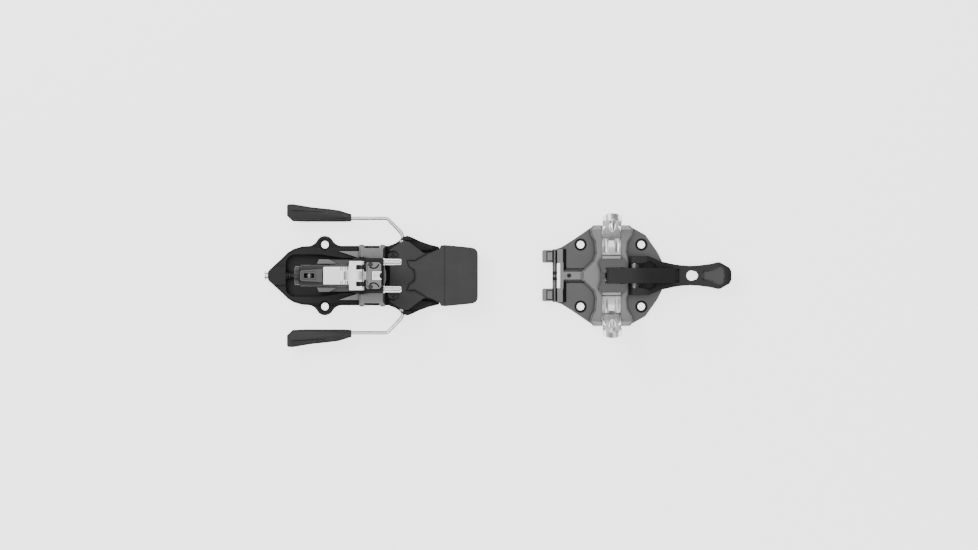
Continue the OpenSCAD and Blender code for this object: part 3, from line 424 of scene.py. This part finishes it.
# Width of the rounded edge on each node, in millimetres; 0 leaves the mesh as it is
EDGE = {
    "toe_plate": 0.5, "toe_lever": 0.7, "toe_wing_left": 0.6, "toe_wing_right": 0.6, "heel_base": 0.7,
    "carriage": 0.6, "turret_body": 0.5, "climbing_flap": 0.45, "brake_frame": 0.5, "brake_pad_cap": 0.8,
    "brake_pad_plate": 0.5, "brake_tip_left": 0.9, "brake_tip_right": 0.9, "pin_arm_left": 0.5,
    "pin_arm_right": 0.5, "toe_cover": 0.4, "turret_front_plate": 0.3, "turret_cover": 0.3,
}
PLAIN_EDGE = 0.2
WELD = 0.002 * MM
SPRINGS = ("toe_springs", "lateral_release_spring", "vertical_release_spring", "brake_springs")


def smooth_coils(part):
    """Joins the seams of a spring's mesh and rounds its wire."""
    part.modifiers.new("weld", "WELD").merge_threshold = WELD
    part.modifiers.new("round", "SUBSURF").render_levels = 2


def dress(name):
    """A CAD node keeps its shape and gets its material and softly rounded edges."""
    part = nodes[name]
    part.data.materials.clear()
    part.data.materials.append(MATERIALS[slot_of[name]])
    part.data.shade_smooth()
    if name in SPRINGS:
        smooth_coils(part)
    else:
        part.modifiers.new("weld", "WELD").merge_threshold = WELD
        planar = part.modifiers.new("planar", "DECIMATE")
        planar.decimate_type = "DISSOLVE"
        planar.angle_limit = math.radians(1.0)
        bevel = part.modifiers.new("edges", "BEVEL")
        bevel.width = EDGE.get(name, PLAIN_EDGE) * MM
        bevel.segments = 3
        bevel.limit_method = "ANGLE"
        bevel.angle_limit = math.radians(32)
        bevel.use_clamp_overlap = True
        bevel.harden_normals = True
    normals = part.modifiers.new("normals", "WEIGHTED_NORMAL")
    normals.keep_sharp = True


def spring_that_gives(name, body):
    """A copy of a spring's node, with joined seams and rounded wire, that rides with its joint's body in
    place of the node.
    """
    coils = bpy.data.objects.new(name + "_coils", nodes[name].data.copy())
    bpy.context.scene.collection.objects.link(coils)
    smooth_coils(coils)
    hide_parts(name)
    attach(coils, body)
    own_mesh(coils)


def give_springs():
    """Each spring's copy rides with the body given for it."""
    spring_that_gives("toe_springs", "base")
    spring_that_gives("lateral_release_spring", "turret")
    spring_that_gives("vertical_release_spring", "turret")


AROUND = 20              # points round the length screw
RINGS_PER_PITCH = 8
THREAD_PITCH = 1.5 * MM  # the carriage's travel for one turn
THREAD_MAJOR, THREAD_MINOR = 2.5 * MM, 2.05 * MM


def plain_rings(start, collar, collar_start, collar_end):
    """The length screw's journal and collar, as rings of (x, radius)."""
    chamfer = 0.3 * MM
    profile = [
        (start, THREAD_MAJOR - chamfer), (start + chamfer, THREAD_MAJOR), (collar_start, THREAD_MAJOR),
        (collar_start, collar - chamfer), (collar_start + chamfer, collar),
        (collar_end - chamfer, collar), (collar_end, collar - chamfer), (collar_end, THREAD_MINOR),
    ]
    return [[(x, radius)] * AROUND for x, radius in profile]


def thread_rings(start, length):
    """A left-hand thread that grows over its first pitch and fades over its last."""
    rings = []
    count = int(length / THREAD_PITCH * RINGS_PER_PITCH)
    for i in range(1, count + 1):
        along = length * i / count
        grown = min(1.0, along / THREAD_PITCH, (length - along) / THREAD_PITCH)
        crests = [abs((along / THREAD_PITCH + k / AROUND) % 1.0 * 2 - 1) for k in range(AROUND)]
        depth = (THREAD_MAJOR - THREAD_MINOR) * grown
        rings.append([(start + along, THREAD_MINOR + depth * crest) for crest in crests])
    return rings


def thread_length_screw():
    """The length screw, with its thread, in place of the CAD node's plain rod."""
    low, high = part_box("length_screw")
    collar = (high[1] - low[1]) / 2
    collar_start, collar_end = low[0] + 18.1 * MM, low[0] + 19.4 * MM
    middle_y, middle_z = (low[1] + high[1]) / 2, (low[2] + high[2]) / 2
    rings = plain_rings(low[0], collar, collar_start, collar_end)
    rings += thread_rings(collar_end, high[0] - collar_end)
    points, faces = [], []
    for ring in rings:
        for k, (x, radius) in enumerate(ring):
            turn = 2 * math.pi * k / AROUND
            points.append((x, middle_y + radius * math.cos(turn), middle_z + radius * math.sin(turn)))
    for i in range(len(rings) - 1):
        for k in range(AROUND):
            a, b = i * AROUND + k, i * AROUND + (k + 1) % AROUND
            faces.append((a, b, b + AROUND, a + AROUND))
    faces.append(tuple(range(AROUND - 1, -1, -1)))
    faces.append(tuple(range((len(rings) - 1) * AROUND, len(rings) * AROUND)))
    mesh = bpy.data.meshes.new("length_screw_thread")
    mesh.from_pydata(points, [], faces)
    mesh.materials.append(MATERIALS["dark_steel"])
    screw = bpy.data.objects.new("length_screw_thread", mesh)
    bpy.context.scene.collection.objects.link(screw)
    smooth = screw.modifiers.new("soft", "EDGE_SPLIT")
    smooth.split_angle = math.radians(50)
    mesh.shade_smooth()
    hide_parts("length_screw")
    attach(screw, "length_screw")


add_camera()
add_studio()
add_floor()
for node_name in nodes:
    dress(node_name)
thread_length_screw()
give_springs()
